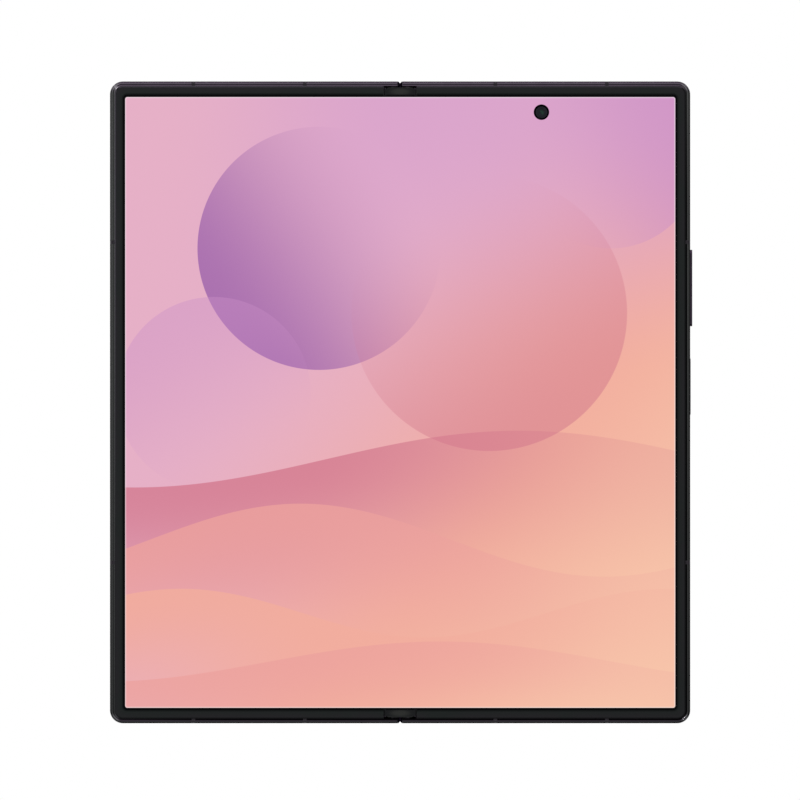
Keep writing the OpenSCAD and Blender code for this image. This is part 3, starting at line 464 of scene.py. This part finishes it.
def rear_lens_glass():
    """Cover glass of a rear camera: clear in the middle, printed black round it."""
    g = Graph("lens_glass")
    x, y, _ = g.parts(g.place())
    row = g.math("WRAP", g.sub(y, CAMERA_Y), CAMERA_PITCH / 2, -CAMERA_PITCH / 2)
    clear = g.ramp(g.distance(x, row, CAMERA_X, 0.0), CLEAR_R + 0.04, CLEAR_R - 0.04)
    colour = g.mix(clear, GLASS_BLACK, (0.9, 0.92, 0.95, 1))
    g.set(Base_Color=colour, Roughness=0.02, Transmission_Weight=clear, IOR=1.3)
    return g.material


def front_lens():
    """Inner camera's lens: dark grey, with greenish reflections between its elements."""
    g = Graph("front_lens")
    spot = g.place()
    x, y, _ = g.parts(spot)
    grey = g.mix(g.noise(spot, 0.75, 1), srgb(16, 16, 21), srgb(38, 40, 46))
    glint = g.ramp(g.noise(spot, 1.6, 1), 0.35, 0.6)
    green = g.mul(g.ramp(g.distance(x, y, *PUNCH), 0.95, 0.1), glint)
    g.set(Base_Color=g.mix(green, grey, srgb(36, 66, 52)), Roughness=0.3, Specular_IOR_Level=0.15)
    return g.material


def flash_resin():
    """Flash lens: warm resin over two emitters, with fine rings pressed into it."""
    g = Graph("flash_resin")
    x, y, _ = g.parts(g.place())
    reach = g.distance(x, y, *FLASH_SPOT)
    dx, dy = g.sub(x, FLASH_SPOT[0]), g.sub(y, FLASH_SPOT[1])
    emitter = g.ramp(g.round_box(dx, g.sub(g.math("ABSOLUTE", dy), 0.55), 0.62, 0.45, 0.05), 0.1, -0.05)
    resin = g.mix(emitter, srgb(238, 232, 214), srgb(226, 200, 84))
    colour = g.mix(g.ramp(reach, 1.75, 1.95), resin, srgb(150, 148, 142))
    g.set(Base_Color=colour, Roughness=0.12, Coat_Weight=1.0)
    g.bump(g.math("SINE", g.mul(reach, 2 * math.pi / 0.22)), 0.5, 0.02)
    return g.material


def cover_screen_glass():
    """Front glass of the closed phone: black display behind it, with the camera in its opening."""
    g = Graph("cover_screen_glass")
    spot = g.place()
    x, y, _ = g.parts(spot)
    reach = g.distance(x, y, -PUNCH[0], PUNCH[1])
    lens = g.ramp(g.math("ABSOLUTE", g.sub(reach, 0.75)), 0.7, 0.3)
    ring = g.ramp(g.math("ABSOLUTE", g.sub(reach, PUNCH_R - 0.12)), 0.12, 0.04)
    shown = g.round_box(g.add(x, HALF_W / 2 + 0.8), y, HALF_W / 2 - 2.9, HALF_L - 2.3, 4.0)
    colour = g.mix(g.ramp(shown, -0.03, 0.03), srgb(13, 13, 15), srgb(4, 4, 5))
    colour = g.mix(ring, colour, srgb(30, 30, 34))
    colour = g.mix(lens, colour, srgb(22, 30, 42))
    g.set(Base_Color=colour, Roughness=g.add(g.mul(wiped(g, spot), 0.04), 0.04))
    return g.material


def woven_mesh():
    """Woven speaker mesh: fine holes in rows."""
    g = Graph("speaker_mesh")
    x, _, z = g.parts(g.place())
    turn = 2 * math.pi / 0.22
    weave = g.mul(g.math("SINE", g.mul(x, turn)), g.math("SINE", g.mul(z, turn)))
    colour = g.mix(g.ramp(weave, 0.1, 0.35), srgb(92, 90, 94), srgb(8, 8, 9))
    g.set(Base_Color=colour, Metallic=0.8, Roughness=0.4)
    g.bump(weave, 0.6, 0.05)
    return g.material


RIM = rim_metal()
SPINE = metal("spine_metal", srgb(78, 70, 80), 0.3)
KEY = metal("key_metal", srgb(80, 68, 84), 0.3)
STEEL = metal("machined_steel", srgb(176, 178, 184), 0.32)
BRONZE = metal("sintered_bronze", srgb(170, 152, 118), 0.42)
COPPER = metal("copper_wire", srgb(196, 122, 74), 0.35)
BREAK = plastic("antenna_plastic", srgb(40, 36, 42), 0.5, specular=0.3)
BEZEL = bezel_film()
CAP = cap_plastic()
PUNCH_BLACK = plastic("camera_opening", srgb(4, 2, 5), 0.7, specular=0.0)
BLACK = plastic("black_plastic", srgb(20, 20, 22), 0.5)
# Painted shade: the dark filling of the seam and of the notches between the rims
SEAM_SHADE = plastic("seam_shade_fill", srgb(42, 29, 52), 0.7, specular=0.1)
BATTERY = plastic("battery_wrap", srgb(48, 50, 54), 0.4)
BOARD = plastic("solder_mask", srgb(16, 70, 54), 0.35)
REAR_GLASS = satin_glass()
COVER_GLASS = cover_screen_glass()
LENS_GLASS = rear_lens_glass()
LENS_COATING = lens_coating()
FRONT_LENS = front_lens()
GOLD = metal("contact_gold", srgb(214, 178, 104), 0.25)
MESH = woven_mesh()
FLASH = flash_resin()
SCREEN = screen_material("screen_flat")
SCREEN_FOLD = screen_material("screen_fold", from_uv=True)

FINISHES = {
    RIM: ("left_frame", "right_frame", "camera_island", "camera_rings", "sim_tray"),
    SPINE: ("spine_cover",),
    KEY: ("volume_key", "power_key"),
    STEEL: (
        "hinge_brackets", "gear_shafts", "hinge_springs", "spine_screws", "left_display_plate",
        "right_display_plate", "sim_reader", "left_rotators", "right_rotators", "left_rotator_screws",
        "right_rotator_screws", "left_magnets", "right_magnets", "usb_port", "vibration_motor",
        "left_wing", "right_wing",
    ),
    BRONZE: ("detent_cams", "left_arms", "right_arms", "left_idler_gears", "right_idler_gears"),
    COPPER: ("charging_coil",),
    BREAK: ("left_antenna_breaks", "right_antenna_breaks"),
    BEZEL: ("left_bezel", "right_bezel"),
    CAP: ("hinge_end_caps",),
    BLACK: (
        "cover_display_panel", "earpiece", "bottom_speaker", "top_speaker", "camera_modules", "key_switches",
        "cover_camera",
    ),
    PUNCH_BLACK: ("inner_camera",),
    BATTERY: ("left_battery", "right_battery"),
    BOARD: ("sub_board", "main_board"),
    REAR_GLASS: ("rear_glass",),
    COVER_GLASS: ("cover_glass",),
    LENS_GLASS: ("camera_glasses",),
    MESH: ("speaker_meshes",),
    FLASH: ("flash_lens",),
    SCREEN: ("left_display_panel", "right_display_panel"),
}


def dress(node, material):
    """Gives a CAD node one material."""
    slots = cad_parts[node].data.materials
    slots.clear()
    slots.append(material)


for finish, nodes in FINISHES.items():
    for name in nodes:
        dress(name, finish)


# ---- meshes ----

TURN_STEPS = 64
FILM_COLUMNS = 48
LATTICE_COLUMNS = 72
FOLD_ROWS = 8


def link(name, data):
    """An object in the scene, made from its data."""
    made = bpy.data.objects.new(name, data)
    bpy.context.scene.collection.objects.link(made)
    return made


def piece(name, vertices, faces, material):
    """A mesh piece from points in millimetres."""
    mesh = bpy.data.meshes.new(name)
    mesh.from_pydata([[c * MM for c in v] for v in vertices], [], faces)
    mesh.materials.append(material)
    return link(name, mesh)


def revolve(name, profile, centre, material):
    """A smooth piece turned about an upright axis, from a profile of (radius, height)."""
    vertices, faces, rings = [], [], []
    for r, z in profile:
        start = len(vertices)
        if r == 0.0:
            rings.append([start] * TURN_STEPS)
            vertices.append((*centre, z))
            continue
        rings.append(range(start, start + TURN_STEPS))
        for k in range(TURN_STEPS):
            a = 2 * math.pi * k / TURN_STEPS
            vertices.append((centre[0] + r * math.cos(a), centre[1] + r * math.sin(a), z))
    for a, b in zip(rings, rings[1:]):
        for k in range(TURN_STEPS):
            n = (k + 1) % TURN_STEPS
            corners = list(dict.fromkeys((a[k], a[n], b[n], b[k])))
            if len(corners) > 2:
                faces.append(corners)
    made = piece(name, vertices, faces, material)
    made.data.shade_smooth()
    bm = bmesh.new()
    bm.from_mesh(made.data)
    bmesh.ops.recalc_face_normals(bm, faces=bm.faces)
    bm.to_mesh(made.data)
    bm.free()
    return made


def strip(name, low, high, across, along, material):
    """A closed slab from corner to corner, its faces cut into columns so that it can bend."""
    xs = [low[0] + (high[0] - low[0]) * i / across for i in range(across + 1)]
    ys = [low[1] + (high[1] - low[1]) * j / along for j in range(along + 1)]
    vertices = [(x, y, z) for z in (low[2], high[2]) for x in xs for y in ys]

    def at(level, i, j):
        return level * len(xs) * len(ys) + i * len(ys) + j

    faces = []
    for i in range(across):
        for j in range(along):
            faces.append((at(1, i, j), at(1, i + 1, j), at(1, i + 1, j + 1), at(1, i, j + 1)))
            faces.append((at(0, i, j), at(0, i, j + 1), at(0, i + 1, j + 1), at(0, i + 1, j)))
    for i in range(across):
        faces.append((at(0, i, 0), at(0, i + 1, 0), at(1, i + 1, 0), at(1, i, 0)))
        faces.append((at(0, i, along), at(1, i, along), at(1, i + 1, along), at(0, i + 1, along)))
    for j in range(along):
        faces.append((at(0, 0, j), at(1, 0, j), at(1, 0, j + 1), at(0, 0, j + 1)))
        faces.append((at(0, across, j), at(0, across, j + 1), at(1, across, j + 1), at(1, across, j)))
    return piece(name, vertices, faces, material)


def keep_rest_place(made):
    """Writes each point's place at rest into a UV layer, so that the picture bends with the film."""
    layer = made.data.uv_layers.new(name="rest")
    for loop in made.data.loops:
        x, y, _ = made.data.vertices[loop.vertex_index].co / MM
        layer.data[loop.index].uv = ((x + HALF_W) / (2 * HALF_W), (y + HALF_L) / (2 * HALF_L))


def bending_display():
    """The display's bending part and the lattice under it, each as two pieces that meet over the spine."""
    for side, name in ((-1, "left"), (1, "right")):
        near, far = sorted((0.0, side * FOLD_X))
        low, high = (near, -FOLD_Y, PANEL_LOW[2]), (far, FOLD_Y, SCREEN_Z)
        film = strip(f"{name}_fold_film", low, high, FILM_COLUMNS, FOLD_ROWS, SCREEN_FOLD)
        keep_rest_place(film)
        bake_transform(film)
        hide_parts("inner_display_fold")
        near, far = sorted((0.0, side * LATTICE_HIGH[0]))
        low, high = (near, -LATTICE_HIGH[1], LATTICE_LOW[2]), (far, *LATTICE_HIGH[1:])
        lattice = strip(f"{name}_fold_lattice", low, high, LATTICE_COLUMNS, FOLD_ROWS, STEEL)
        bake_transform(lattice)
        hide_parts("display_lattice")


def rear_lenses():
    """Domed lens elements behind the glasses of the three rear cameras."""
    radius, rise, half_angle, rings = 2.34, 0.5, 1.05, 8
    top = GLASS_HIGH[2] + 0.54
    dome = [(0.0, top)]
    for k in range(1, rings + 1):
        a = k / rings * half_angle
        dome.append((
            radius * math.sin(a) / math.sin(half_angle),
            top + rise * (1 - math.cos(a)) / (1 - math.cos(half_angle)),
        ))
    for i, name in enumerate(("low", "middle", "high")):
        centre = (CAMERA_X, CAMERA_Y + (i - 1) * CAMERA_PITCH)
        element = revolve(f"{name}_lens_element", dome, centre, LENS_COATING)
        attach(element, "right_half")


BOX_FACES = ((0, 2, 3, 1), (4, 5, 7, 6), (0, 1, 5, 4), (2, 6, 7, 3), (0, 4, 6, 2), (1, 3, 7, 5))


def boxes(name, spans, material):
    """Several boxes in one piece, each given by its low and high corners."""
    vertices, faces = [], []
    for span in spans:
        n = len(vertices)
        xs, ys, zs = zip(*span)
        vertices += [(x, y, z) for z in zs for y in ys for x in xs]
        faces += [tuple(n + k for k in face) for face in BOX_FACES]
    return piece(name, vertices, faces, material)


def socket_contacts():
    """Twelve gold contacts on each side of the charging socket's tongue, four of them longer."""
    count, pitch, half_w, length, longer = 12, 0.5, 0.13, 4.2, 0.3
    x = (SOCKET_LOW[0] + SOCKET_HIGH[0]) / 2
    z = (SOCKET_LOW[2] + SOCKET_HIGH[2]) / 2
    near = SOCKET_LOW[1] + 1.5
    spans = []
    for side in (-1, 1):
        low, high = sorted((z + side * 0.34, z + side * 0.37))
        for k in range(count):
            cx = x + (k - (count - 1) / 2) * pitch
            start = near - (longer if k in (0, 3, 8, 11) else 0.0)
            spans.append(((cx - half_w, start, low), (cx + half_w, near + length, high)))
    contacts = boxes("socket_contacts", spans, GOLD)
    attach(contacts, "right_half")


def inner_lens():
    """Lens of the inner camera, just under the display's surface."""
    rise = ((1.45, -0.3), (1.45, 0.011), (1.44, 0.012), (1.1, 0.02), (0.55, 0.026), (0.0, 0.028))
    profile = [(r, CAMERA_HIGH[2] + h) for r, h in rise]
    lens = revolve("inner_camera_lens", profile, PUNCH, FRONT_LENS)
    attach(lens, "right_half")


def seam_shade_fill():
    """Dark filling of the thin seam between the ends of the two rims, over the spine's end caps: a dark
    piece painted as the seam's shade.
    """
    near = low_high("spine_cover")[1][1] + 0.002
    spans = []
    for side in (-1, 1):
        low, high = sorted((side * near, side * (HALF_L - NOTCH_DEPTH)))
        spans.append(((-SEAM_HALF, low, BACK_Z + 0.6), (SEAM_HALF, high, BACK_Z + 3.2)))
    seam_fill = boxes("seam_shade_fill", spans, SEAM_SHADE)
    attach(seam_fill, "spine")


def notch_fills():
    """Dark fillings that make the notches between the two rims smaller, one piece on each half; their dark
    colour is painted shade like the seam's.
    """
    outline = ((SEAM_HALF, 0.589), (0.641, 0.0), (0.36, 0.0), (SEAM_HALF, NOTCH_DEPTH))
    walls = [(k, (k + 1) % 4, (k + 1) % 4 + 4, k + 4) for k in range(4)]
    for side, body in ((-1, "left_half"), (1, "right_half")):
        vertices, faces = [], []
        for end in (-1, 1):
            n = len(vertices)
            for z in (BACK_Z + 0.7, BACK_Z + 3.0):
                vertices += [(side * x, end * (HALF_L - depth), z) for x, depth in outline]
            for face in [(3, 2, 1, 0), (4, 5, 6, 7)] + walls:
                faces.append(tuple(n + k for k in (face[::-1] if side == end else face)))
        fills = piece(f"{body}_notch_fills", vertices, faces, SEAM_SHADE)
        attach(fills, body)


bending_display()
rear_lenses()
socket_contacts()
inner_lens()
seam_shade_fill()
notch_fills()


# ---- stage, lights and camera ----

# Small lights: name, turn from +X and height over the floor in degrees, power in watts
LIGHTS = (
    ("low_upper_left", 135, 6, 2.6),
    ("high_upper_left", 135, 40, 3.4),
    ("low_lower_right", -45, 6, 1.8),
    ("high_lower_right", -45, 40, 0.7),
    ("low_upper_right", 45, 6, 1.6),
    ("low_lower_left", -135, 6, 1.2),
)
# In metres: how far the lights stand, how wide they are, and half the floor's width
LIGHT_REACH = 1.2
LIGHT_SIZE = 0.1
FLOOR_REACH = 3.0
# The photograph: its width and the place of the hinge's middle in pixels, and its scale
PHOTO_W = 800
PHOTO_MIDDLE = (400.1, 402.35)
PIXELS_PER_MM = 4.0535


def floor():
    """A white light table, clear from below.

    It meets the camera rings and the outer edge of the left half, as the phone rests on it."""
    ring_x = low_high("camera_rings")[1][0]
    tilt = math.atan2(BACK_Z, ring_x + HALF_W)
    corners = [(x * FLOOR_REACH, y * FLOOR_REACH, 0) for x, y in ((-1, -1), (1, -1), (1, 1), (-1, 1))]
    mesh = bpy.data.meshes.new("floor")
    mesh.from_pydata(corners, [], [(0, 1, 2, 3)])
    made = link("floor", mesh)
    made.matrix_world = Matrix.Translation((ring_x * MM, 0, -0.0001)) @ Matrix.Rotation(tilt, 4, "Y")
    g = Graph("floor_lightbox")
    path = g.node("ShaderNodeLightPath").outputs
    surface = g.node("ShaderNodeNewGeometry").outputs
    # Full white to the camera, a little weaker in diffuse light, dim in mirrors unless the view is shallow
    steep = g.math("ABSOLUTE", g.parts(surface["Incoming"])[2])
    mirrored = g.ramp(steep, 0.55, 0.3, at_low=0.08, at_high=0.63)
    seen = g.math("MAXIMUM", path["Is Camera Ray"], g.mul(path["Is Diffuse Ray"], 0.9))
    g.set(Base_Color=UNLIT, Roughness=1.0, Specular_IOR_Level=0.0)
    g.set(Emission_Color=WHITE, Emission_Strength=g.math("MAXIMUM", seen, mirrored))
    g.set(Alpha=g.sub(1.0, surface["Backfacing"]))
    mesh.materials.append(g.material)


def small_light(name, turn, height, power):
    """A small square light that looks at the phone from a direction."""
    data = bpy.data.lights.new(name, "AREA")
    data.shape = "RECTANGLE"
    data.size = data.size_y = LIGHT_SIZE
    data.energy = power
    a, e = math.radians(turn), math.radians(height)
    made = link(name, data)
    made.location = (
        LIGHT_REACH * math.cos(a) * math.cos(e),
        LIGHT_REACH * math.sin(a) * math.cos(e),
        LIGHT_REACH * math.sin(e),
    )
    made.rotation_euler = (-made.location).to_track_quat("-Z", "Y").to_euler()


def studio():
    """Light from all sides, dark overhead, brighter from the upper left; and small lights for glints."""
    world = bpy.data.worlds.new("studio")
    world.use_nodes = True
    g = Nodes(world.node_tree)
    way = g.node("ShaderNodeTexCoord").outputs["Generated"]
    _, north, up = g.parts(way)
    ring = g.ramp(up, 0.7, 0.92, smooth=False, at_low=0.62, at_high=1.3)
    hole = g.ramp(up, 0.955, 0.995, smooth=False, at_low=1.0, at_high=0.2)
    lean = g.node("ShaderNodeVectorMath", operation="DOT_PRODUCT")
    g.feed(lean.inputs[0], way)
    lean.inputs[1].default_value = (-0.6, 0.8, 0.0)
    side = g.ramp(lean.outputs["Value"], -0.85, 0.85, smooth=False, at_low=0.1, at_high=1.25)
    background = world.node_tree.nodes["Background"]
    tint = g.mix(g.ramp(north, 0.0, 0.75, smooth=False), (0.94, 1.0, 0.97, 1), (1.1, 0.9, 1.1, 1))
    g.feed(background.inputs["Color"], tint)
    g.feed(background.inputs["Strength"], g.mul(g.mul(ring, hole), side))
    scene = bpy.context.scene
    scene.world = world
    scene.view_settings.view_transform = "Standard"
    for light in LIGHTS:
        small_light(*light)


def camera():
    """Straight above the inner display, the photograph's top edge towards +Y."""
    data = bpy.data.cameras.new("camera")
    data.lens, data.sensor_width = 250.0, 36.0
    data.clip_end = 20
    made = link("camera", data)
    made.location = Vector((
        (PHOTO_W / 2 - PHOTO_MIDDLE[0]) / PIXELS_PER_MM,
        (PHOTO_MIDDLE[1] - PHOTO_W / 2) / PIXELS_PER_MM,
        RIM_TOP + PHOTO_W / PIXELS_PER_MM * data.lens / data.sensor_width,
    )) * MM
    bpy.context.scene.camera = made


floor()
studio()
camera()
